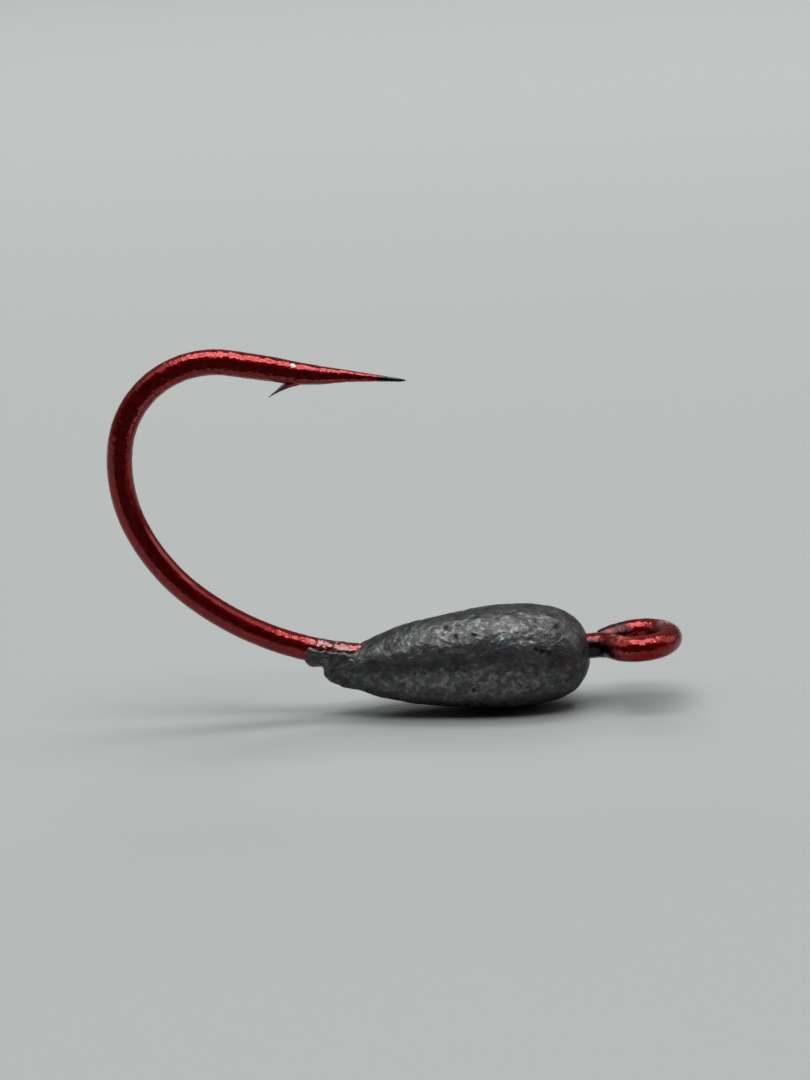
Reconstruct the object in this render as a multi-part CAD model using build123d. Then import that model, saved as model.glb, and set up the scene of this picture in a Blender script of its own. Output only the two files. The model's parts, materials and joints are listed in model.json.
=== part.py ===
from build123d import *
import math
import os

# Jig head: a round-bend hook of forged wire with a lead weight cast round its shank.
# Millimetres and degrees. The origin is the centre of the line eye. +X is the eye's end,
# -X the bend's end, and +Z the side of the shank that the point is on. The wire from the
# neck to the point lies in the plane Y = 0, and the eye's hole runs across that plane,
# nearly along Z.

# Wire
WIRE_RADIUS = 0.775

# Line eye: the wire bent round a mandrel into a ring, whose tapered end lies along the shank
EYE_RADIUS = 1.83          # to the middle of the wire
EYE_HOLE_RADIUS = 1.1      # of the flat land that the mandrel leaves inside the ring
EYE_TILT = 3.8             # the ring's outer end is lifted this much
NECK_RADIUS = 1.2          # bend from the shank out onto the ring
FREE_END_START = 120       # angle round the ring where the free end leaves it
FREE_END_RADIUS = 3.25     # bend that lays the free end along the shank
FREE_END_TAPER = [1.0, 0.94, 0.8, 0.58]

# Shank, from the neck to the bend
KICK_RADIUS = 4.0          # short bend that takes up the eye's tilt
STRAIGHT_END_X = -15.17    # where the straight shank turns into the bend

# Bend, from the shank round to the point: radius of the wire's centreline, and turn
BEND_ARCS = [(18.14, 39.8), (12.34, 26.3), (9.15, 33.65), (5.83, 91.4)]

# Point: distance along it, and its outer and inner edges measured from the wire's line. The
# outer edge stays nearly straight and the inner edge is ground up to it.
POINT_EDGES = [
    (0.0, 0.775, 0.775),
    (2.4, 0.74, 0.75),
    (4.2, 0.64, 0.73),
    (5.4, 0.6, 0.54),
    (6.9, 0.58, 0.16),
    (8.4, 0.56, -0.09),
    (10.2, 0.53, -0.34),
    (10.55, 0.47, -0.42),
]

# Barb, lifted from the wire on the side that faces the shank. Distances along the point, and
# depths from the wire's line.
BARB_TIP = (2.61, 1.65)
BARB_NOTCH = (3.43, 0.7)   # inner corner of the cut
BARB_FRONT = (4.2, 0.67)   # where the barb's back runs out of the wire
BARB_ROOT_DEPTH = 0.3      # the barb's root reaches into the wire to here
BARB_THICKNESS = 0.7

# Lead teardrop, turned round its own axis, fat end towards the eye. Each flank is a chain of
# arcs from the widest place: radius and turn.
LEAD_RADIUS = 3.2
LEAD_WIDEST_X = -8.1
LEAD_DROP = 0.4            # its axis below the shank, at the widest place
LEAD_TILT = 1.2            # its tail is lower than its nose
LEAD_NOSE_ARCS = [(11.5, 15.0), (2.75, 60.0)]
LEAD_TAIL_ARCS = [(15.0, 6.5), (66.0, 3.5), (15.6, 10.3)]
LEAD_TAIL_CONE = 2.35

# Saddle of lead that ran out along the underside of the wire, behind the teardrop
SADDLE_RADIUS = 1.04
SADDLE_LIP = 0.33          # its edges stand this far above the middle of the wire
SADDLE_TURN = 16.4         # how far it follows the bend

# Worked out: the neck's turn, where it starts, and the height of the shank
EYE_REACH = EYE_RADIUS + NECK_RADIUS
NECK_TURN = math.degrees(math.acos(NECK_RADIUS / EYE_REACH))
NECK_X = -EYE_REACH * math.sin(math.radians(NECK_TURN))
KICK_DROP = KICK_RADIUS * (1 - math.cos(math.radians(EYE_TILT)))
SHANK_Z = NECK_X * math.sin(math.radians(EYE_TILT)) - KICK_DROP
BEND_START = Vector(STRAIGHT_END_X, 0, SHANK_Z)


def heading(turned):
    """Direction of the wire once it has turned this much from the shank, which runs along -X."""
    angle = math.radians(turned)
    return Vector(-math.cos(angle), 0, math.sin(angle))


def inward(turned):
    """Direction from the wire towards the inside of the bend."""
    angle = math.radians(turned)
    return Vector(math.sin(angle), 0, math.cos(angle))


def disc(centre, direction, radius=WIRE_RADIUS):
    """Round section of wire."""
    return Plane(origin=centre, z_dir=direction) * Circle(radius)


def swing(section, centre, axis, turn):
    """Section swung round an axis, as bent wire is."""
    return revolve(section, axis=Axis(centre, axis), revolution_arc=turn)


def bend(place, turned, arcs):
    """The solids of wire bent through a chain of arcs, and the place and turn where it ends."""
    solids = []
    for radius, turn in arcs:
        centre = place + inward(turned) * radius
        solids.append(swing(disc(place, heading(turned)), centre, (0, 1, 0), turn))
        turned += turn
        place = centre - inward(turned) * radius
    return solids, place, turned


def point(start, turned):
    """The tapered point."""
    sections = []
    for along, outer, inner in POINT_EDGES:
        centre = start + heading(turned) * along - inward(turned) * ((outer - inner) / 2)
        sections.append(disc(centre, heading(turned), (outer + inner) / 2))
    return loft(sections, ruled=True)


def barb(start, turned):
    """A thin wedge lifted from the wire, its tip back towards the bend."""
    root = [(along, BARB_ROOT_DEPTH) for along in (BARB_FRONT[0], BARB_NOTCH[0])]
    corners = [BARB_TIP, BARB_FRONT, *root, BARB_NOTCH]
    outline = [start + heading(turned) * along + inward(turned) * depth for along, depth in corners]
    return extrude(make_face(Polyline(*outline, close=True)), amount=BARB_THICKNESS / 2, both=True)


def neck():
    """The bend that carries the shank out onto the ring, drawn flat in the plane Z = 0."""
    section = disc((NECK_X, 0, 0), (-1, 0, 0))
    return swing(section, (NECK_X, -NECK_RADIUS, 0), (0, 0, -1), NECK_TURN)


def ring():
    """The ring, from the neck round to the free end, drawn flat."""
    start = -90 - NECK_TURN
    joint = Vector(EYE_RADIUS, 0, 0).rotate(Axis.Z, start)
    section = disc(joint, Vector(0, 1, 0).rotate(Axis.Z, start))
    return swing(section, (0, 0, 0), (0, 0, 1), FREE_END_START - start)


def free_end():
    """The wire's tapered end, from the ring back along the side of the shank, drawn flat."""
    spoke = Vector(1, 0, 0).rotate(Axis.Z, FREE_END_START)
    centre = spoke * (EYE_RADIUS + FREE_END_RADIUS)
    turn = FREE_END_START - 90
    last = len(FREE_END_TAPER) - 1
    sections = []
    for step, size in enumerate(FREE_END_TAPER):
        arm = (spoke * -FREE_END_RADIUS).rotate(Axis.Z, -turn * step / last)
        sections.append(disc(centre + arm, (arm.Y, -arm.X, 0), WIRE_RADIUS * size))
    return loft(sections)


def hook():
    """The hook, one piece of wire from the eye to the point."""
    tilt = Rot(0, -EYE_TILT, 0)
    eye = [tilt * solid for solid in (neck(), ring(), free_end())]
    neck_start = Vector(NECK_X, 0, 0).rotate(Axis.Y, -EYE_TILT)
    kick, place, turned = bend(neck_start, -EYE_TILT, [(KICK_RADIUS, EYE_TILT)])
    shank = extrude(disc(place, heading(turned)), amount=place.X - STRAIGHT_END_X)
    arcs, end, turned = bend(BEND_START, turned, BEND_ARCS)
    wire = shank + [*arcs, point(end, turned), barb(end, turned), *kick, *eye]
    return wire - tilt * Cylinder(EYE_HOLE_RADIUS, 4 * WIRE_RADIUS)


def flank(way, arcs, cone=0.0):
    """Half outline of the teardrop, from its widest place to its axis; way is 1 to the nose, -1 to the tail."""
    place = Vector(0, LEAD_RADIUS)
    direction = Vector(way, 0)
    edges = []
    for radius, turn in arcs:
        edges.append(JernArc(place, direction, radius, -way * turn))
        place = edges[-1] @ 1
        direction = edges[-1] % 1
    if cone:
        edges.append(Line(place, place + direction * cone))
        place = edges[-1] @ 1
    steepness = math.degrees(math.asin(-direction.Y))
    edges.append(JernArc(place, direction, place.Y / abs(direction.X), -way * (90 - steepness)))
    return edges


def teardrop():
    """The turned body of the weight."""
    nose = flank(1, LEAD_NOSE_ARCS)
    tail = flank(-1, LEAD_TAIL_ARCS, LEAD_TAIL_CONE)
    profile = make_face([*nose, *tail, Line(nose[-1] @ 1, tail[-1] @ 1)])
    body = revolve(profile, axis=Axis.X)
    return Pos(LEAD_WIDEST_X, 0, SHANK_Z - LEAD_DROP) * Rot(90, 0, 0) * Rot(0, 0, LEAD_TILT) * body


def saddle():
    """Trough of lead under the wire, where it starts to bend."""
    section_plane = Plane(origin=BEND_START, x_dir=(0, -1, 0), z_dir=heading(0))
    above_lip = Pos(0, SADDLE_LIP + SADDLE_RADIUS) * Rectangle(4 * SADDLE_RADIUS, 2 * SADDLE_RADIUS)
    section = section_plane * (Circle(SADDLE_RADIUS) - above_lip)
    radius = BEND_ARCS[0][0]
    return swing(section, BEND_START + inward(0) * radius, (0, 1, 0), SADDLE_TURN)


hook_solid = hook()
lead_solid = teardrop() + saddle() - hook_solid

os.makedirs("parts", exist_ok=True)
for name, solid, colour in (
    ("hook", hook_solid, Color(0.55, 0.02, 0.03)),
    ("lead_weight", lead_solid, Color(0.25, 0.26, 0.27)),
):
    solid.label = name
    solid.color = colour
    export_step(solid, f"parts/{name}.step")
    print(name, len(solid.solids()), "solid", round(solid.volume, 2), "mm3", solid.bounding_box())
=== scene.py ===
import json
import math
import bpy
from mathutils import Matrix, Vector, noise


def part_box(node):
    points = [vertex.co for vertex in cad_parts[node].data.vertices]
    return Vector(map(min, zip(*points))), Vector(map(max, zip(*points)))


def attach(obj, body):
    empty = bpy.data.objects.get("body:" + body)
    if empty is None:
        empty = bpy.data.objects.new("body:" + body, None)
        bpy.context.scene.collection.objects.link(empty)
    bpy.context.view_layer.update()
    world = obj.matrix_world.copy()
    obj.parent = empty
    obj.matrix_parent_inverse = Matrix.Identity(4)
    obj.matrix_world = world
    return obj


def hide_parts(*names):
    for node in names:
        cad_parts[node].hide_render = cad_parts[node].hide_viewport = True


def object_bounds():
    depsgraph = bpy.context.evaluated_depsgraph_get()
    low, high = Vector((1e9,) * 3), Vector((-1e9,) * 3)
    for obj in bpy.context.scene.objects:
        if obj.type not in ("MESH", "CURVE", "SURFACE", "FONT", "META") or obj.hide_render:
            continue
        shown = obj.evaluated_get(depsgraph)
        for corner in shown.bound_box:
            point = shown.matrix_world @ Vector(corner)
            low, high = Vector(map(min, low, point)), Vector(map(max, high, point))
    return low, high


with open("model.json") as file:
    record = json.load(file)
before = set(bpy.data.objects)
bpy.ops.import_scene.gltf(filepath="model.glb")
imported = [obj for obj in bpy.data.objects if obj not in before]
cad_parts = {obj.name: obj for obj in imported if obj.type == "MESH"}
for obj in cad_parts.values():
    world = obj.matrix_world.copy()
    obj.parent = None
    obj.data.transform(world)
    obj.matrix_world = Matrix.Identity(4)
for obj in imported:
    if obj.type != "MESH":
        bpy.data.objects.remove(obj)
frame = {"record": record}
cad_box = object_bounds()
noise.seed_set(1)          # noise_vector would otherwise be seeded from the clock

# The jig head's looks: a hook of lacquered wire, and the rough lead weight cast round its
# shank. Meshes are built in millimetres, in the frame's own axes, and brought to metres when
# they are done. The wire's plane is Y = 0, and its point is on the +Z side of the shank.

MM = 0.001

# ---------------------------------------------------------------- sizes from the frame

EYE = frame["record"]["mounts"][0]
EYE_AXIS = Vector(EYE["axis"]).normalized()
EYE_CENTRE = Vector(EYE["pos_m"]) / MM
HOLE_RADIUS = EYE["dims"]["r_mm"]
HOOK_LOW, HOOK_HIGH = (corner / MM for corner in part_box("hook"))

# The ring's outside is half the hook's width, and the land inside it has the stated length.
EYE_OUTSIDE = (HOOK_HIGH.y - HOOK_LOW.y) / 2
LAND = EYE["dims"]["length_mm"] / 2
RING_DEPTH = EYE_OUTSIDE - HOLE_RADIUS
WIRE_RADIUS = (RING_DEPTH**2 + LAND**2) / (2 * RING_DEPTH)
EYE_RADIUS = EYE_OUTSIDE - WIRE_RADIUS
EYE_TILT = math.acos(EYE_AXIS.z)

# ---------------------------------------------------------------- the wire's shape, in mm

NECK_RADIUS = 1.5          # bend from the shank out onto the ring
FREE_END_START = 120       # angle round the ring where the free end leaves it
FREE_END_RADIUS = 3.25     # bend that lays the free end along the shank
FREE_END_TAPER = [(0.0, 1.0), (0.4, 0.97), (0.7, 0.88), (0.9, 0.74), (0.97, 0.62), (1.0, 0.4)]
KICK_RADIUS = 4.0          # short bend that takes up the eye's tilt
STRAIGHT_END_X = -15.17    # where the straight shank turns into the bend
BEND_ARCS = [(18.14, 39.8), (12.34, 26.3), (9.15, 33.65), (5.83, 91.4)]     # radius and turn
POINT_LENGTH = 10.53

# Distance from the end of the bend towards the tip, and the wire's outer and inner edges
POINT_EDGES = [
    (0.0, 0.775, 0.775),
    (1.2, 0.765, 0.765),
    (2.4, 0.74, 0.75),
    (3.3, 0.685, 0.735),
    (4.2, 0.635, 0.70),
    (5.4, 0.6, 0.53),
    (6.9, 0.58, 0.16),
    (8.4, 0.56, -0.09),
    (10.2, 0.53, -0.34),
    (10.42, 0.51, -0.39),
    (10.53, 0.47, -0.44),
]

# The barb, a tongue that a chisel lifted from the wire. Distances along the point, and depths
# from the wire's line towards the shank.
BARB_TIP = (2.57, 1.72)
BARB_NOTCH = (3.43, 0.7)
BARB_FRONT = (4.25, 0.7)
BARB_HALF_WIDTH = 0.42
BARB_TIP_SIZE = 0.05
BARB_ROOT_SHARE = 1.35     # it runs on into the wire by this share of its length
BARB_HOLLOW = 0.45         # its tip's thickness, as a share of a straight-backed barb's

# Marks on the lacquer, painted shade and painted highlights among them
WORN_PLACE = Vector((2.0, 0.85, 0.6))           # rubbed, on the outside of the ring
CREASE_PLACE = Vector((-1.8, 0.9, 0.4))         # painted shade, where the ring closes
PAINTED_FLECK_PLACE = Vector((-0.95, -1.0, 0.6))       # painted highlight flecks, on the ring's near side
POOL_PLACE = Vector((-1.8, 0.42, -0.08))        # the set drop that fills the ring's wedge
POOL_SIZE = Vector((0.78, 0.42, 0.42))
GLINT_ALONG, GLINT_DEPTH, GLINT_SIDE = 3.75, -0.47, -0.42      # painted highlight, on the point's back
BLACK_POINT_REACH = 2.4
BLACK_BARB_REACH = 1.75

WIRE_STEP = 0.075          # between rings of the wire's mesh
WIRE_SIDES = 70

# ---------------------------------------------------------------- the weight's shape, in mm

LEAD_RADIUS = 3.2
LEAD_WIDEST_X = -8.1
LEAD_DROP = 0.4            # its axis below the shank, at the widest place
LEAD_TILT = math.radians(1.2)
LEAD_NOSE_ARCS = [(11.5, 15.0), (2.75, 60.0)]
LEAD_TAIL_ARCS = [(15.0, 6.5), (66.0, 3.5), (15.6, 10.3)]
LEAD_TAIL_CONE = 2.5
TAIL_FLATTENING = 0.1      # its top is this much flatter where it meets the wire
LEAD_SIDES = 220
CAST_PITS = [              # place, radius and depth
    (Vector((-6.12, -2.86, 0.44)), 0.3, 0.12),
    (Vector((-6.5, -2.88, 0.55)), 0.2, 0.06),
    (Vector((-5.75, -2.8, 0.34)), 0.2, 0.06),
]
PIT_SPACING = 0.85
PIT_RADIUS = 0.26
PIT_DEPTH = 0.06
LEAD_VOXEL = 0.067
BORE_GAP = 0.015           # the casting's bore is this much inside the wire's surface
JOIN_PLACE = Vector((-17.9, 0, -0.5))      # where the teardrop's tail flows into the saddle
JOIN_REACH = 1.5

# The saddle, a trough of lead under the wire behind the teardrop, and the knob at its end
SADDLE_RADIUS = 1.04
SADDLE_SINK = 0.13         # its round is centred this far below the wire's middle
SADDLE_LIP = 0.33          # its edges stand this far above the middle of the wire
LIP_ROUNDING = 0.05
LIP_RAGGEDNESS = 0.22
LIP_LENGTH = 0.54          # over which its edges rise at its end
LIP_START = -0.45          # height of its edges at its very end
KNOB_LENGTH = 0.72
KNOB_START = 0.4           # the knob's end, as a share of the saddle's size
KNOB_SWELL = 0.06          # the knob is this much fuller than the saddle
KNOB_PINCH = 0.05          # and the saddle is this much slimmer just before it
KNOB_SLANT = 0.45          # its end face leans back from the wire's square by this much per depth
SADDLE_TURN = 17.7         # how far it follows the bend

# ---------------------------------------------------------------- worked out

X, Y = Vector((1, 0, 0)), Vector((0, 1, 0))
NECK_TURN = math.acos(NECK_RADIUS / (EYE_RADIUS + NECK_RADIUS))
NECK_START = -(EYE_RADIUS + NECK_RADIUS) * math.sin(NECK_TURN)
SHANK_Z = NECK_START * math.sin(EYE_TILT) - KICK_RADIUS * (1 - math.cos(EYE_TILT))
KICK_START_X = NECK_START * math.cos(EYE_TILT) - KICK_RADIUS * math.sin(EYE_TILT)
BEND_START = Vector((STRAIGHT_END_X, 0, SHANK_Z))


def between(value, table, column=1):
    """The value at a distance, from a table of rows that start with the distance."""
    if value <= table[0][0]:
        return table[0][column]
    for low, high in zip(table, table[1:]):
        if value <= high[0]:
            share = (value - low[0]) / (high[0] - low[0])
            return low[column] + (high[column] - low[column]) * share
    return table[-1][column]


def fade(value, low, high):
    """0 below low, 1 above high, and a smooth step between them."""
    share = min(max((value - low) / (high - low), 0.0), 1.0)
    return share * share * (3 - 2 * share)


# ---------------------------------------------------------------- mesh helpers


def new_piece(name, vertices, faces):
    """A mesh object from places and faces."""
    mesh = bpy.data.meshes.new(name)
    mesh.from_pydata([tuple(v) for v in vertices], [], faces)
    mesh.update()
    piece = bpy.data.objects.new(name, mesh)
    bpy.context.scene.collection.objects.link(piece)
    return piece


def apply_modifier(piece, kind, **settings):
    """Runs one modifier on the piece's mesh."""
    modifier = piece.modifiers.new("step", kind)
    for name, value in settings.items():
        setattr(modifier, name, value)
    graph = bpy.context.evaluated_depsgraph_get()
    mesh = bpy.data.meshes.new_from_object(piece.evaluated_get(graph))
    piece.modifiers.clear()
    piece.data = mesh


def combine(piece, other, operation):
    """Boolean of two closed pieces; the second one is used up."""
    apply_modifier(piece, "BOOLEAN", object=other, operation=operation, solver="MANIFOLD")
    bpy.data.objects.remove(other)


def displace(piece, height):
    """Moves each vertex along its normal by height(place, normal), in millimetres."""
    mesh = piece.data
    normals = [n.vector.copy() for n in mesh.vertex_normals]
    for vertex, normal in zip(mesh.vertices, normals):
        vertex.co += normal * height(vertex.co, normal)
    mesh.update()


def grid_faces(rows, sides):
    """Quads between rings of equal size, with a fan-free cap at each end."""
    faces = []
    for row in range(rows - 1):
        for side in range(sides):
            here, there = row * sides, (row + 1) * sides
            after = (side + 1) % sides
            faces.append((here + side, here + after, there + after, there + side))
    faces.append(tuple(reversed(range(sides))))
    faces.append(tuple(range((rows - 1) * sides, rows * sides)))
    return faces


def mark(piece, name, value):
    """A number at each vertex, for the material."""
    attribute = piece.data.attributes.new(name, "FLOAT", "POINT")
    attribute.data.foreach_set("value", [value(v.co) for v in piece.data.vertices])


def finish_piece(piece, material, node):
    """Brings a piece to metres and hands it to the frame."""
    piece.data.transform(Matrix.Scale(MM, 4))
    piece.data.materials.clear()
    piece.data.materials.append(material)
    piece.data.polygons.foreach_set("use_smooth", [True] * len(piece.data.polygons))
    piece.data.set_sharp_from_angle(angle=math.radians(42))
    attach(piece, "root")
    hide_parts(node)


# ---------------------------------------------------------------- the hook


def follow(place, heading, runs):
    """Points along wire that runs straight for a length, or bends: (radius, radians, axis)."""
    points = [place]
    for run in runs:
        if isinstance(run, float):
            steps = math.ceil(run / WIRE_STEP)
            points += [place + heading * (run * k / steps) for k in range(1, steps + 1)]
        else:
            radius, turn, axis = run
            centre = place + axis.cross(heading) * radius
            arm = place - centre
            steps = math.ceil(radius * turn / WIRE_STEP)
            turns = [Matrix.Rotation(turn * k / steps, 3, axis) for k in range(1, steps + 1)]
            points += [centre + turned @ arm for turned in turns]
            heading = turns[-1] @ heading
        place = points[-1]
    return points, heading


def bend_route():
    arcs = [(radius, math.radians(turn), Y) for radius, turn in BEND_ARCS]
    return follow(BEND_START, -X, arcs)


def eye_route():
    ring_turn = math.radians(FREE_END_START + 90) + NECK_TURN
    runs = [
        KICK_START_X - STRAIGHT_END_X,
        (KICK_RADIUS, EYE_TILT, -Y),
        (NECK_RADIUS, NECK_TURN, -EYE_AXIS),
        (EYE_RADIUS, ring_turn, EYE_AXIS),
        (FREE_END_RADIUS, math.radians(FREE_END_START - 90), -EYE_AXIS),
    ]
    return follow(BEND_START, X, runs)[0]


BEND_ROUTE, POINT_HEADING = bend_route()
POINT_START = BEND_ROUTE[-1]
POINT_INWARD = Y.cross(POINT_HEADING)


def on_point(along, depth, side=0.0):
    """A place given by its distance along the point and its depth from the wire's line."""
    return POINT_START + POINT_HEADING * along + POINT_INWARD * depth + Y * side


def point_sections():
    """Centres and radii of the point, from the bend to the tip."""
    steps = math.ceil(POINT_LENGTH / WIRE_STEP)
    centres, radii = [], []
    for k in range(1, steps + 1):
        along = POINT_LENGTH * k / steps
        outer = between(along, POINT_EDGES, 1)
        inner = between(along, POINT_EDGES, 2)
        centres.append(on_point(along, (inner - outer) / 2))
        radii.append((outer + inner) / 2)
    return centres, radii


def smooth_radii(radii, passes):
    """Evens out the corners of a list of radii, leaving its ends."""
    for _ in range(passes):
        radii = [radii[0]] + [
            (a + 2 * b + c) / 4 for a, b, c in zip(radii, radii[1:], radii[2:])
        ] + [radii[-1]]
    return radii


def wire_centres_and_radii():
    """The whole wire, from the point's tip round the bend and along the shank to the free end."""
    tip_centres, tip_radii = point_sections()
    eye = eye_route()
    length = FREE_END_RADIUS * math.radians(FREE_END_START - 90)
    steps = math.ceil(length / WIRE_STEP)
    eye_radii = [WIRE_RADIUS] * (len(eye) - steps)
    eye_radii += [WIRE_RADIUS * between((k + 1) / steps, FREE_END_TAPER) for k in range(steps)]
    centres = tip_centres[::-1] + BEND_ROUTE[::-1] + eye[1:]
    radii = smooth_radii(tip_radii, 6)[::-1] + [WIRE_RADIUS] * len(BEND_ROUTE) + eye_radii[1:]
    return centres, radii


def sweep(centres, radii, sides, across):
    """Tube of round sections, carried along without twist from the direction across."""
    vertices = []
    last = len(centres) - 1
    for k, (centre, radius) in enumerate(zip(centres, radii)):
        ahead = (centres[min(k + 1, last)] - centres[max(k - 1, 0)]).normalized()
        across = (across - ahead * across.dot(ahead)).normalized()
        other = ahead.cross(across)
        for side in range(sides):
            angle = 2 * math.pi * side / sides
            vertices.append(centre + (across * math.cos(angle) + other * math.sin(angle)) * radius)
    return vertices, grid_faces(len(centres), sides)


def barb_sections():
    """The barb from its tip into the wire: flat underneath, round on its back."""
    vertices = []
    steps, sides = 22, 16
    for k in range(steps + 1):
        share = BARB_ROOT_SHARE * k / steps
        under = [a + (b - a) * share for a, b in zip(BARB_TIP, BARB_NOTCH)]
        back = [a + (b - a) * share for a, b in zip(BARB_TIP, BARB_FRONT)]
        back[0] += BARB_TIP_SIZE
        back[1] += BARB_TIP_SIZE * 0.6
        slim = BARB_HOLLOW + (1 - BARB_HOLLOW) * min(share, 1.0) ** 2
        back = [a + (b - a) * slim for a, b in zip(under, back)]
        half_width = BARB_TIP_SIZE + (BARB_HALF_WIDTH - BARB_TIP_SIZE) * min(share, 1.0) ** 0.75
        for side in range(sides):
            angle = math.pi * (side / (sides - 1) - 0.5)
            rise = max(math.cos(angle), 0.0) ** 0.8
            along = under[0] + (back[0] - under[0]) * rise
            depth = under[1] + (back[1] - under[1]) * rise
            vertices.append(on_point(along, depth, half_width * math.sin(angle)))
    return vertices, grid_faces(steps + 1, sides)


def press_land(place):
    """The mandrel's flat land inside the ring."""
    arm = place - EYE_CENTRE
    up = EYE_AXIS * arm.dot(EYE_AXIS)
    flat = arm - up
    if flat.length < HOLE_RADIUS and up.length < WIRE_RADIUS:
        return EYE_CENTRE + up + flat.normalized() * HOLE_RADIUS
    return place


GLINT_PLACE = on_point(GLINT_ALONG, GLINT_DEPTH, GLINT_SIDE)


def lacquer_height(place, normal):
    """Runs, dimples and orange peel in the lacquer, and the dross by the weight's tail."""
    runs = noise.noise(place / 1.3) * 0.008
    dimples = noise.noise(place / 0.45 + Vector((9, 0, 0))) * 0.011 * orange_peel(place)
    peel = noise.noise(place / 0.22 + Vector((0, 3, 0))) * 0.004
    dross = noise.noise(place / 0.26 + Vector((0, 0, 6))) * 0.04 * dross_here(place)
    scars = noise.noise(place / 0.3 + Vector((0, 5, 0))) * 0.015 * shaded_crease(place)
    return runs + dimples + peel + dross + scars


def dross_here(place):
    """How much lead dross and scorching is on the wire, just behind the teardrop."""
    if place.z > 4:
        return 0.0
    along = fade(place.x, -20.4, -19.4) * (1 - fade(place.x, -17.0, -16.6))
    return along * fade(place.z, -0.6, 0.2)


def blackened(place):
    """1 on the ground tips of the point and the barb, where the lacquer has gone."""
    point = (place - on_point(POINT_LENGTH, 0)).length / BLACK_POINT_REACH
    barb = (place - on_point(*BARB_TIP)).length / BLACK_BARB_REACH
    if (place - POINT_START).dot(POINT_INWARD) < WIRE_RADIUS + 0.005:
        barb = 1.0
    return 1 - fade(min(point, barb), 0.4, 1)


def painted_glint(place):
    """A painted highlight: a pale spot on the back of the point, opposite the barb."""
    return 1 - fade((place - GLINT_PLACE).length, 0.05, 0.2)


def worn(place):
    """Rubbed lacquer on the outside of the ring."""
    return 1 - fade((place - WORN_PLACE).length, 0.4, 1.15)


def shaded_crease(place):
    """Where the free end lies against the neck: painted shade in the colour, and scars in the
    lacquer's shape.
    """
    return 1 - fade((place - CREASE_PLACE).length, 0.9, 1.9)


def orange_peel(place):
    """How dimpled the lacquer is: least round the bend, most along the point and the shank."""
    point = fade(place.z, 11.0, 16.0)
    shank = fade(place.x, -25.0, -19.0) * (1 - fade(place.z, 4.0, 7.0))
    return 0.15 + 0.85 * max(point, shank)


def painted_flecks(place):
    """Painted highlights: pale brown flecks on the ring's near side, where it closes."""
    return 1 - fade((place - PAINTED_FLECK_PLACE).length, 0.6, 1.3)


def neck_shade(place):
    """Painted shade: the neck's underside darkened to near black, where it comes out of the weight.
    """
    top = 0.15 - 0.2 * fade(place.x, -2.9, -1.5)
    along = (1 - fade(place.x, -2.2, -1.3)) * fade(place.x, -4.6, -4.2)
    return along * (1 - fade(place.z, top, top + 0.5))


def pool_sections():
    """Lacquer that set in the wedge between the neck and the free end, beside the eye's hole."""
    rows, sides = 24, 32
    vertices = []
    for row in range(rows + 1):
        polar = math.pi * (0.02 + 0.96 * row / rows)
        for side in range(sides):
            around = 2 * math.pi * side / sides
            round_place = Vector((
                math.cos(polar),
                math.sin(polar) * math.cos(around),
                math.sin(polar) * math.sin(around),
            ))
            place = POOL_PLACE + Vector(a * b for a, b in zip(round_place, POOL_SIZE))
            vertices.append(press_land(place))
    return vertices, grid_faces(rows + 1, sides)


def make_hook(material):
    centres, radii = wire_centres_and_radii()
    vertices, faces = sweep(centres, radii, WIRE_SIDES, POINT_INWARD)
    hook = new_piece("hook_wire", [press_land(v) for v in vertices], faces)
    barb = new_piece("barb", *barb_sections())
    combine(hook, barb, "UNION")
    combine(hook, new_piece("pool", *pool_sections()), "UNION")
    displace(hook, lacquer_height)
    for name, value in (
        ("blackened", blackened),
        ("painted_glint", painted_glint),
        ("worn", worn),
        ("orange_peel", orange_peel),
        ("shaded_crease", shaded_crease),
        ("painted_flecks", painted_flecks),
        ("neck_shade", neck_shade),
        ("dross", dross_here),
    ):
        mark(hook, name, value)
    finish_piece(hook, material, "hook")


# ---------------------------------------------------------------- the weight


def flank(way, arcs, cone=0.0):
    """Half outline of the teardrop as (distance, radius), from its widest place to its axis."""
    place = Vector((0, LEAD_RADIUS))
    turned = 0.0
    points = [place.copy()]

    def arc(radius, turn):
        nonlocal turned
        steps = max(2, math.ceil(radius * turn / LEAD_VOXEL))
        start = place.copy()
        for k in range(1, steps + 1):
            now = turned + turn * k / steps
            along = radius * (math.sin(now) - math.sin(turned))
            drop = radius * (math.cos(turned) - math.cos(now))
            points.append(start + Vector((along, -drop)))
        turned += turn

    for radius, turn in arcs:
        arc(radius, math.radians(turn))
        place = points[-1].copy()
    if cone:
        direction = Vector((math.cos(turned), -math.sin(turned)))
        steps = math.ceil(cone / LEAD_VOXEL)
        points += [place + direction * (cone * k / steps) for k in range(1, steps + 1)]
        place = points[-1].copy()
    arc(place.y / math.cos(turned), math.pi / 2 - turned)
    return [(way * p.x, max(p.y, 0.004)) for p in points]


def make_teardrop():
    outline = flank(-1, LEAD_TAIL_ARCS, LEAD_TAIL_CONE)[::-1] + flank(1, LEAD_NOSE_ARCS)[1:]
    centre = Matrix.Translation((LEAD_WIDEST_X, 0, SHANK_Z - LEAD_DROP))
    place = centre @ Matrix.Rotation(-LEAD_TILT, 4, "Y")
    vertices = []
    for along, radius in outline:
        flatten = 1 - TAIL_FLATTENING * fade(-along, 6.0, 9.0)
        for side in range(LEAD_SIDES):
            angle = 2 * math.pi * side / LEAD_SIDES
            rise = radius * math.cos(angle)
            if rise > 0:
                rise *= flatten
            vertices.append(place @ Vector((along, radius * math.sin(angle), rise)))
    return new_piece("lead_weight_casting", vertices, grid_faces(len(outline), LEAD_SIDES))


def quarter_round(share):
    """0 at 0 and 1 from 1 on, rising as a quarter of a circle does."""
    return math.sqrt(max(1 - (1 - min(share, 1)) ** 2, 0.0))


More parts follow.
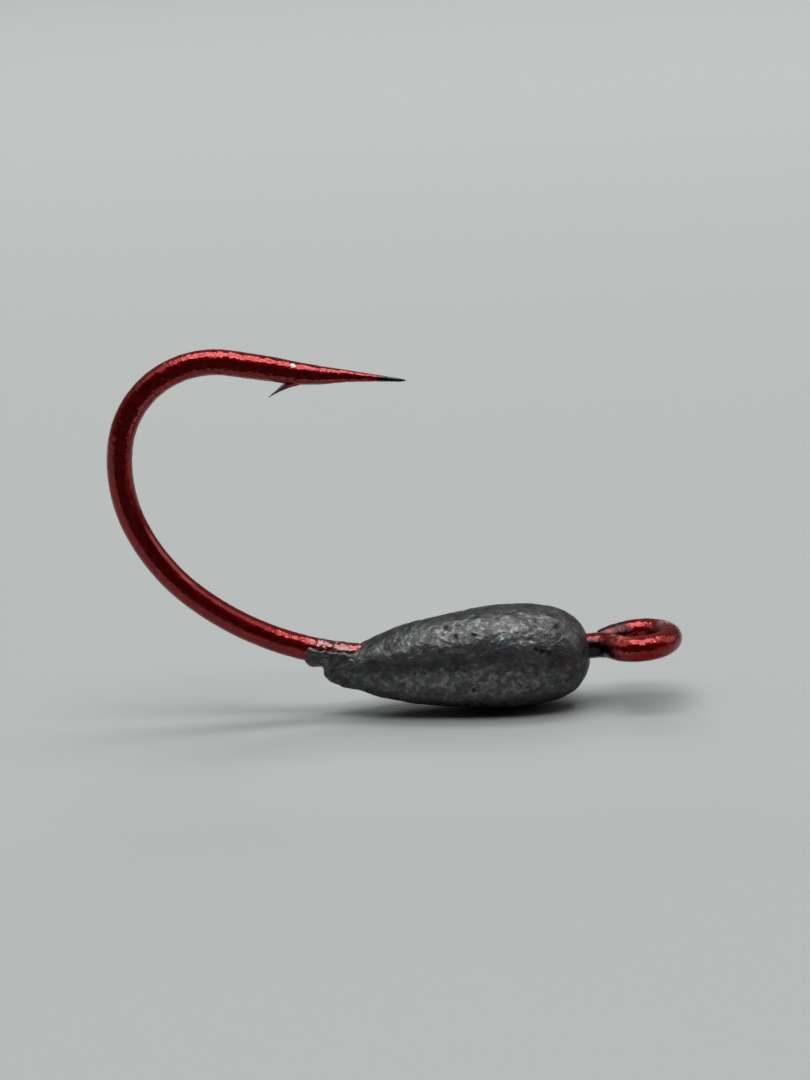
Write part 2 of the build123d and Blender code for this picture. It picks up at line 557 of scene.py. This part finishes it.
def make_saddle():
    """Trough of lead that ran out under the wire, with thin lips and a rounded knob at its end."""
    radius = BEND_ARCS[0][0]
    turn = math.radians(SADDLE_TURN)
    centres = follow(BEND_START, -X, [(radius, turn, Y)])[0]
    length = radius * turn
    last = len(centres) - 1
    sides = 60
    vertices = []
    for k, centre in enumerate(centres):
        angle = turn * k / last
        up = Vector((math.sin(angle), 0, math.cos(angle)))
        back = Vector((math.cos(angle), 0, -math.sin(angle)))
        left = length * (1 - k / last)
        end = quarter_round(left / KNOB_LENGTH)
        lip_end = quarter_round(left / LIP_LENGTH)
        knob = math.exp(-(((left - KNOB_LENGTH) / 0.35) ** 2))
        neck = math.exp(-(((left - 2.1 * KNOB_LENGTH) / 0.2) ** 2))
        size = (KNOB_START + (1 - KNOB_START) * end) * (SADDLE_RADIUS - SADDLE_SINK)
        size *= 1 + KNOB_SWELL * knob - KNOB_PINCH * neck
        ragged = LIP_RAGGEDNESS * noise.noise(Vector((left / 0.45, 0, 2)))
        lip = SADDLE_LIP * lip_end + LIP_START * (1 - lip_end) + ragged
        for side in range(sides):
            around = 2 * math.pi * side / sides
            across = size * math.sin(around)
            rise = size * math.cos(around) - SADDLE_SINK
            levels = math.exp(-rise / LIP_ROUNDING) + math.exp(-lip / LIP_ROUNDING)
            soft = -LIP_ROUNDING * math.log(levels)
            lean = KNOB_SLANT * max(-soft, 0.0) * (1 - fade(left, 0.0, 2 * KNOB_LENGTH))
            vertices.append(centre + Y * across + up * soft + back * lean)
    return new_piece("saddle", vertices, grid_faces(len(centres), sides))


def cast_height(place, normal):
    """The casting's skin: slow waves, lumps, grains and pits, and the mould's parting line."""
    rough = 1 + 0.6 * (1 - fade(place.x, -18.6, -17.6)) + 0.9 * (1 - fade(place.x, -19.6, -19.0))
    waves = noise.noise(place / 2.6) * 0.05
    lumps = noise.noise(place / 0.9 + Vector((4, 0, 0))) * 0.04 * rough
    grains = noise.noise(place / 0.42 + Vector((0, 7, 0))) * 0.034 * rough
    fine = noise.noise(place / 0.2) * 0.008
    seam = 0.025 * math.exp(-((place.y / 0.07) ** 2)) * abs(normal.z)
    return waves + lumps + grains + fine + seam - pit_depth(place)


def pit_depth(place):
    """Ragged blowholes: some in scattered cells, and a few large ones."""
    ragged = place + noise.noise_vector(place / 0.25) * 0.12
    distances, points = noise.voronoi(ragged / PIT_SPACING)
    depth = 0.0
    if noise.cell(points[0] * 9.1) > 0.4:
        depth = PIT_DEPTH * (1 - fade(distances[0] * PIT_SPACING, 0.05, PIT_RADIUS))
    for centre, radius, deepest in CAST_PITS:
        depth = max(depth, deepest * (1 - fade((ragged - centre).length, 0.2 * radius, radius)))
    return depth


def pit_shade(place):
    """Painted shade: how much the blowholes darken the casting's skin."""
    return min(pit_depth(place) / PIT_DEPTH, 1.0)


def make_weight(material):
    lead = make_teardrop()
    combine(lead, make_saddle(), "UNION")
    apply_modifier(lead, "REMESH", mode="VOXEL", voxel_size=LEAD_VOXEL)
    apply_modifier(lead, "SMOOTH", factor=0.5, iterations=3)
    join = lead.vertex_groups.new(name="join")
    for vertex in lead.data.vertices:
        weight = 1 - fade((vertex.co - JOIN_PLACE).length, 0.7 * JOIN_REACH, JOIN_REACH)
        if weight > 0:
            join.add([vertex.index], weight, "REPLACE")
    apply_modifier(lead, "SMOOTH", factor=0.5, iterations=30, vertex_group="join")
    mark(lead, "pit_shade", pit_shade)
    displace(lead, cast_height)
    centres, radii = wire_centres_and_radii()
    wire = new_piece("wire", *sweep(centres, [r - BORE_GAP for r in radii], 48, POINT_INWARD))
    combine(lead, wire, "DIFFERENCE")
    finish_piece(lead, material, "lead_weight")


# ---------------------------------------------------------------- materials


class Shader:
    """One material's nodes. Each method adds a node and returns its output."""

    def __init__(self, name, **constants):
        self.material = bpy.data.materials.new(name)
        self.material.use_nodes = True
        self.tree = self.material.node_tree
        self.surface = self.tree.nodes["Principled BSDF"]
        for key, value in constants.items():
            socket = key.replace("_", " ").title().replace("Ior", "IOR")
            self.surface.inputs[socket].default_value = value
        coordinates = self.add("ShaderNodeTexCoord").outputs["Object"]
        self.place = self.vector_math("MULTIPLY", coordinates, (1 / MM,) * 3)

    def add(self, kind, **settings):
        node = self.tree.nodes.new(kind)
        for key, value in settings.items():
            setattr(node, key, value)
        return node

    def feed(self, socket, value):
        if isinstance(value, bpy.types.NodeSocket):
            self.tree.links.new(value, socket)
        else:
            socket.default_value = value

    def vector_math(self, operation, a, b):
        node = self.add("ShaderNodeVectorMath", operation=operation)
        self.feed(node.inputs[0], a)
        self.feed(node.inputs[1], b)
        return node.outputs[0]

    def math(self, operation, a, b=0.0):
        node = self.add("ShaderNodeMath", operation=operation)
        self.feed(node.inputs[0], a)
        self.feed(node.inputs[1], b)
        return node.outputs[0]

    def noise(self, size, detail=2.0, roughness=0.5, distortion=0.0, shift=0.0):
        """Noise whose patches are about size millimetres."""
        node = self.add("ShaderNodeTexNoise", noise_dimensions="4D")
        self.feed(node.inputs["Vector"], self.place)
        for key, value in (("W", shift), ("Scale", 1 / size), ("Detail", detail),
                           ("Roughness", roughness), ("Distortion", distortion)):
            node.inputs[key].default_value = value
        return node.outputs["Fac"]

    def step(self, value, low, high, out_low=0.0, out_high=1.0):
        """Smooth step from low to high."""
        node = self.add("ShaderNodeMapRange", interpolation_type="SMOOTHSTEP")
        self.feed(node.inputs["Value"], value)
        for key, number in (("From Min", low), ("From Max", high),
                            ("To Min", out_low), ("To Max", out_high)):
            node.inputs[key].default_value = number
        return node.outputs["Result"]

    def mix(self, share, a, b):
        node = self.add("ShaderNodeMix", data_type="RGBA")
        self.feed(node.inputs["Factor"], share)
        self.feed(node.inputs["A"], a)
        self.feed(node.inputs["B"], b)
        return node.outputs["Result"]

    def attribute(self, name):
        return self.add("ShaderNodeAttribute", attribute_name=name).outputs["Fac"]

    def bump(self, height, distance, strength=1.0, below=None):
        """Bump whose full height is distance millimetres."""
        node = self.add("ShaderNodeBump")
        node.inputs["Strength"].default_value = strength
        node.inputs["Distance"].default_value = distance * MM
        self.feed(node.inputs["Height"], height)
        if below is not None:
            self.feed(node.inputs["Normal"], below)
        return node.outputs["Normal"]

    def set(self, **values):
        for key, value in values.items():
            self.feed(self.surface.inputs[key.replace("_", " ").title()], value)


def lacquer_material():
    """Transparent red lacquer over bright steel, with wear, dross, black tips, painted shade and
    painted highlights.
    """
    shader = Shader("red_lacquer", coat_weight=1.0, coat_roughness=0.1, coat_ior=1.38,
                    specular_ior_level=0.0)
    shader.surface.inputs["Specular Tint"].default_value = (0.6, 0.12, 0.13, 1)
    red = shader.mix(shader.noise(1.2, 3), (0.145, 0.0012, 0.002, 1), (0.245, 0.003, 0.004, 1))
    clouds = shader.step(shader.noise(0.4, 2, shift=6), 0.44, 0.66)
    mottled = shader.mix(clouds, red, (0.25, 0.009, 0.008, 1))
    grit = shader.noise(0.22, 3, shift=7)
    rub = shader.math("MULTIPLY", shader.attribute("worn"), shader.step(grit, 0.3, 0.55))
    rubbed = shader.mix(rub, mottled, (0.24, 0.2, 0.175, 1))
    fleck = shader.noise(0.34, 2, shift=8)
    crease = shader.attribute("shaded_crease")
    # painted shade: the crease and the free end darkened
    crease_shade = shader.math("MULTIPLY", crease, shader.step(fleck, 0.68, 0.58))
    crease_shaded = shader.mix(crease_shade, rubbed, (0.05, 0.0025, 0.002, 1))
    # painted highlight: pale brown flecks, made less metallic
    painted_fleck_share = shader.math("MULTIPLY", shader.attribute("painted_flecks"), shader.step(fleck, 0.48, 0.58))
    flecked = shader.mix(painted_fleck_share, crease_shaded, (0.4, 0.1, 0.06, 1))
    wear_and_flecks = shader.math("MAXIMUM", rub, painted_fleck_share)
    shader.set(metallic=shader.step(wear_and_flecks, 0.0, 1.0, 0.78, 0.2))
    # painted shade: the neck's underside darkened to near black
    neck_shaded = shader.mix(shader.attribute("neck_shade"), flecked, (0.006, 0.001, 0.001, 1))
    crust = shader.math("MULTIPLY", shader.attribute("dross"), shader.step(grit, 0.42, 0.52))
    crusted = shader.mix(crust, neck_shaded, (0.15, 0.085, 0.085, 1))
    tip = shader.math("ADD", shader.attribute("blackened"), shader.noise(0.35, 2, shift=3))
    tipped = shader.mix(shader.step(tip, 0.8, 1.1), crusted, (0.012, 0.009, 0.009, 1))
    # painted highlight: a pale spot on the point's back
    colour = shader.mix(shader.attribute("painted_glint"), tipped, (0.5, 0.42, 0.4, 1))
    shader.set(base_color=colour)
    shader.set(roughness=shader.step(shader.noise(0.4, 3, shift=1), 0.3, 0.7, 0.16, 0.36))
    dents = shader.math("MULTIPLY", shader.noise(0.36, 2, shift=5), shader.attribute("orange_peel"))
    dimples = shader.bump(dents, 0.075)
    peel = shader.bump(shader.noise(0.13, 2), 0.004, below=dimples)
    dull = shader.math("MAXIMUM", shader.math("MAXIMUM", crease, rub), shader.attribute("neck_shade"))
    grime = shader.math("MULTIPLY", shader.noise(0.09, 2, shift=4), dull)
    gritty = shader.bump(grime, 0.035, below=peel)
    shader.set(normal=gritty)
    shader.feed(shader.surface.inputs["Coat Normal"], gritty)
    return shader.material


def lead_material():
    """Bare cast lead: dark oxide with bare metal grains in it."""
    shader = Shader("cast_lead", specular_ior_level=0.3)
    shader.surface.inputs["Specular Tint"].default_value = (0.4, 0.38, 0.4, 1)
    skin = shader.noise(0.34, 3, 0.5, shift=6)
    oxide = shader.mix(skin, (0.024, 0.024, 0.024, 1), (0.122, 0.121, 0.12, 1))
    bluish = shader.step(shader.noise(1.0, 2, shift=5), 0.53, 0.64, 0, 0.7)
    cool = shader.mix(bluish, oxide, (0.043, 0.071, 0.075, 1))
    purplish = shader.step(shader.noise(1.2, 2, shift=9), 0.53, 0.66, 0, 0.7)
    warm = shader.mix(purplish, cool, (0.074, 0.057, 0.072, 1))
    grain = shader.noise(0.32, 3, 0.6, shift=2)
    stain = shader.step(shader.noise(0.8, 3, shift=12), 0.46, 0.6, 0, 0.6)
    stained = shader.mix(stain, warm, (0.029, 0.03, 0.03, 1))
    kept = shader.step(stain, 0, 0.6, 1, 0.55)
    bare = shader.math("MULTIPLY", shader.step(grain, 0.45, 0.64), kept)
    metal = shader.mix(bare, stained, (0.132, 0.132, 0.132, 1))
    # painted shade: the blowholes darkened
    shader.set(base_color=shader.mix(shader.attribute("pit_shade"), metal, (0.014, 0.014, 0.014, 1)))
    shader.set(metallic=shader.step(grain, 0.46, 0.68, 0.5, 0.86))
    shader.set(roughness=shader.step(grain, 0.46, 0.68, 0.36, 0.27))
    coarse = shader.bump(grain, 0.07)
    fine = shader.bump(shader.noise(0.17, 2), 0.02, below=coarse)
    shader.set(normal=fine)
    return shader.material


def floor_material():
    """Pale matt floor, with painted light: slightly paler at the back."""
    shader = Shader("pale_floor", roughness=0.7, specular_ior_level=0.2)
    split = shader.add("ShaderNodeSeparateXYZ")
    shader.feed(split.inputs[0], shader.place)
    far = shader.step(split.outputs["Y"], -60.0, 500.0)
    shade = shader.mix(far, (0.338, 0.356, 0.351, 1), (0.39, 0.409, 0.402, 1))
    shader.set(base_color=shade)
    shader.set(normal=shader.bump(shader.noise(0.8, 2), 0.01))
    return shader.material


# ---------------------------------------------------------------- stage, lights and camera

# Lengths here are in metres. A lamp's brightness is what its own surface shows.
STAGE_SIZE = 12.0
PANEL_HEIGHT = 3.0
PANEL_WIDTH = 2.7
PANELS = [(-1.4, -0.3), (0.15, 1.15)]     # where each ceiling panel starts and ends, front to back
PANEL_BRIGHTNESS = 5.0
GLOW_WIDTH = 9.0           # of the ceiling round the panels
GLOW_BRIGHTNESS = 0.9
WINDOW_PLACE = (3.4, 0.5, 1.7)
WINDOW_SIZE = (2.5, 1.6)
WINDOW_BRIGHTNESS = 1.1
BACK_PLACE = (0, 3.0, 2.7)
BACK_SIZE = (3.0, 1.8)
BACK_BRIGHTNESS = 3.0

# Cards on the floor in front, which only reflections see. The dark one and the warm one stand
# for the room, and start this far in front.
CARD_START = 0.018
# The pale surface under the weight, and the red glow that the hook throws on it by the eye
PALE_CARD = [(-0.018, -0.0015), (-0.005, -0.0015), (-0.005, -CARD_START), (-0.018, -CARD_START)]
RED_CARD = [(-0.0012, -0.001), (0.004, -0.001), (0.004, -CARD_START), (-0.0012, -CARD_START)]

CAMERA_DISTANCE = 0.1539
CAMERA_ELEVATION = math.radians(14.5)
CAMERA_ROLL = math.radians(-2.9)
CAMERA_LENS = 84.67
AIM_FROM_CENTRE = Vector((0.00051, 0, -0.00071))


def make_floor(material):
    low = cad_box[0]
    reach = STAGE_SIZE / 2
    corners = [(x * reach, y * reach, low.z) for x, y in ((-1, -1), (1, -1), (1, 1), (-1, 1))]
    floor = new_piece("floor", corners, [(0, 1, 2, 3)])
    floor.data.materials.append(material)


def make_lamp(name, place, target, width, depth, brightness):
    """Panel facing a target, of the same brightness all over."""
    lamp = bpy.data.lights.new(name, "AREA")
    lamp.shape = "RECTANGLE"
    lamp.size = width
    lamp.size_y = depth
    lamp.energy = brightness * math.pi * width * depth
    holder = bpy.data.objects.new(name, lamp)
    place, target = Vector(place), Vector(target)
    turn = (place - target).to_track_quat("Z", "Y").to_matrix()
    holder.matrix_world = Matrix.Translation(place) @ turn.to_4x4()
    bpy.context.scene.collection.objects.link(holder)
    return holder


def make_lamps():
    """Two ceiling panels with a weak glow round them, a window to the right, and a back light."""
    for number, (front, back) in enumerate(PANELS):
        middle = (front + back) / 2
        place, target = (0, middle, PANEL_HEIGHT), (0, middle, 0)
        make_lamp(f"ceiling_{number}", place, target, PANEL_WIDTH, back - front, PANEL_BRIGHTNESS)
    front, back = PANELS[0][0], PANELS[-1][1]
    middle = (front + back) / 2
    place, target = (0, middle, PANEL_HEIGHT * 1.05), (0, middle, 0)
    make_lamp("glow", place, target, GLOW_WIDTH, back - front, GLOW_BRIGHTNESS)
    make_lamp("window", WINDOW_PLACE, (0, 0, 0), *WINDOW_SIZE, WINDOW_BRIGHTNESS)
    back_light = make_lamp("back_light", BACK_PLACE, (0, 0, 0), *BACK_SIZE, BACK_BRIGHTNESS)
    # It is there for the shadow that reaches forward, so gloss doesn't show it.
    back_light.visible_glossy = False


def card_corners(left, right):
    """Corners of the floor in front, from one bearing to another in degrees."""
    low, high = cad_box
    reach = STAGE_SIZE / 2
    corners = [(low.x, -CARD_START), (high.x, -CARD_START)]
    for x, bearing in ((high.x, right), (low.x, left)):
        angle = math.radians(bearing)
        corners.append((x + reach * math.sin(angle), -CARD_START - reach * math.cos(angle)))
    return corners


def make_card(name, corners, colour):
    """A card on the floor, for reflections alone."""
    card = new_piece(name, [(x, y, cad_box[0].z + 0.0002) for x, y in corners], [(0, 3, 2, 1)])
    shader = Shader(name, roughness=1.0)
    shader.surface.inputs["Base Color"].default_value = (*colour, 1)
    card.data.materials.append(shader.material)
    card.visible_camera = False
    card.visible_diffuse = False
    card.visible_shadow = False
    card.visible_transmission = False


def make_world():
    """Studio walls: dark in front, pale at the sides. The camera sees a plain pale backdrop."""
    world = bpy.data.worlds.new("studio")
    world.use_nodes = True
    nodes, links = world.node_tree.nodes, world.node_tree.links
    walls = nodes["Background"]
    coordinates = nodes.new("ShaderNodeTexCoord")
    split = nodes.new("ShaderNodeSeparateXYZ")
    links.new(coordinates.outputs["Generated"], split.inputs[0])
    shade = nodes.new("ShaderNodeValToRGB")
    scaled = nodes.new("ShaderNodeMapRange")
    scaled.inputs["From Min"].default_value = -1
    links.new(split.outputs["Y"], scaled.inputs["Value"])
    links.new(scaled.outputs["Result"], shade.inputs["Fac"])
    ramp = shade.color_ramp
    ramp.elements[0].position = 0.3
    ramp.elements[0].color = (0.012, 0.012, 0.012, 1)
    ramp.elements[1].position = 0.5
    ramp.elements[1].color = (0.08, 0.08, 0.08, 1)
    ramp.elements.new(0.65).color = (0.2, 0.2, 0.2, 1)
    ramp.elements.new(1.0).color = (0.14, 0.14, 0.14, 1)
    links.new(shade.outputs["Color"], walls.inputs["Color"])
    backdrop = nodes.new("ShaderNodeBackground")
    backdrop.inputs["Color"].default_value = (0.54, 0.575, 0.56, 1)
    seen = nodes.new("ShaderNodeLightPath")
    choose = nodes.new("ShaderNodeMixShader")
    links.new(seen.outputs["Is Camera Ray"], choose.inputs["Fac"])
    links.new(walls.outputs["Background"], choose.inputs[1])
    links.new(backdrop.outputs["Background"], choose.inputs[2])
    links.new(choose.outputs["Shader"], nodes["World Output"].inputs["Surface"])
    bpy.context.scene.world = world


def make_camera():
    """Aimed at the middle of the object, from a little above."""
    camera = bpy.data.cameras.new("camera")
    camera.lens = CAMERA_LENS
    camera.clip_start = 0.005
    holder = bpy.data.objects.new("camera", camera)
    aim = (cad_box[0] + cad_box[1]) / 2 + AIM_FROM_CENTRE
    aim.y = 0.0
    look = Vector((0, math.cos(CAMERA_ELEVATION), -math.sin(CAMERA_ELEVATION)))
    level_up = Vector((0, math.sin(CAMERA_ELEVATION), math.cos(CAMERA_ELEVATION)))
    right = X * math.cos(CAMERA_ROLL) + level_up * math.sin(CAMERA_ROLL)
    up = level_up * math.cos(CAMERA_ROLL) - X * math.sin(CAMERA_ROLL)
    turn = Matrix((right, up, -look)).transposed()
    holder.matrix_world = Matrix.Translation(aim - look * CAMERA_DISTANCE) @ turn.to_4x4()
    bpy.context.scene.collection.objects.link(holder)
    bpy.context.scene.camera = holder


make_camera()
make_floor(floor_material())
make_lamps()
make_card("dark_card", card_corners(-60, 45), (0.015, 0.015, 0.015))
make_card("warm_card", card_corners(45, 100), (0.16, 0.055, 0.05))
make_card("pale_card", PALE_CARD, (0.62, 0.63, 0.63))
make_card("red_card", RED_CARD, (0.4, 0.15, 0.16))
make_world()
make_hook(lacquer_material())
make_weight(lead_material())

scene = bpy.context.scene
scene.view_settings.view_transform = "Standard"
scene.view_settings.look = "None"
